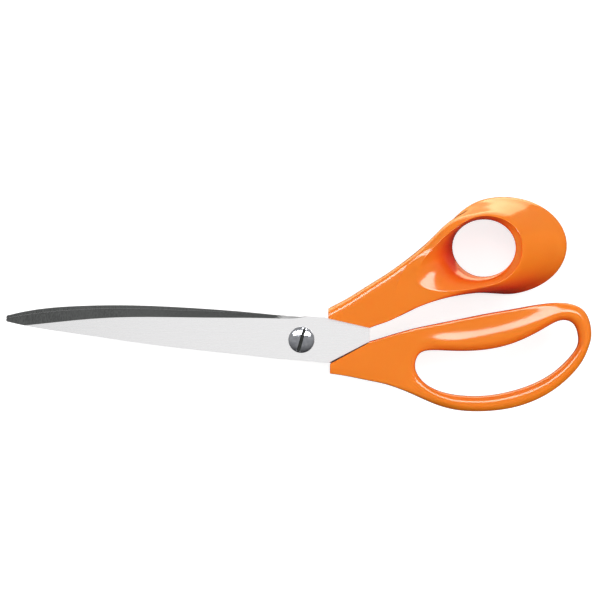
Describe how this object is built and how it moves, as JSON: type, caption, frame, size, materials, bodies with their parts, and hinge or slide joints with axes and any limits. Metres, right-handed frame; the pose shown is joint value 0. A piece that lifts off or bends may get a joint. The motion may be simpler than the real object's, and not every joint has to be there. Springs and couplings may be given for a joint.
{
  "type": "fabric shears",
  "caption": "Long bent-handle shears for cutting cloth, with flat steel blades on an adjustable pivot, a flared thumb ring and a long finger loop.",
  "frame": {"origin": "centre of the closed shears' footprint, on the plane of the thumb ring's back rim", "axes": "+X from the blade tips to the handles, +Y from the finger loop to the thumb ring, +Z along the pivot from the nut to the slotted head; the blades are level"},
  "size_m": [0.25, 0.0921, 0.0215],
  "materials": {
    "blade_steel": "fine satin grind, with a coarser darker ground bevel along the cutting edge",
    "handle_plastic": "hard glossy orange moulding",
    "screw_chrome": "polished",
    "washer_plastic": "plain pale nylon",
    "washer_steel": "plain spring steel"
  },
  "bodies": {
    "finger_half": {"back_blade": "blade_steel", "finger_handle": "handle_plastic", "glide_washer": "washer_plastic", "spring_washer": "washer_steel", "pivot_nut": "screw_chrome"},
    "thumb_half": {"front_blade": "blade_steel", "thumb_handle": "handle_plastic"},
    "tension_screw": {"pivot_screw": "screw_chrome"}
  },
  "joints": [
    {"name": "blade_pivot", "type": "hinge", "parent": "finger_half", "child": "thumb_half", "pos_m": [0.00117, -0.01545, 0.015], "axis": [0, 0, 1], "range_deg": [0, 85]},
    {"name": "tension_turn", "type": "hinge", "parent": "finger_half", "child": "tension_screw", "pos_m": [0.00117, -0.01545, 0.015], "axis": [0, 0, 1], "range_deg": [-90, 90]}
  ]
}
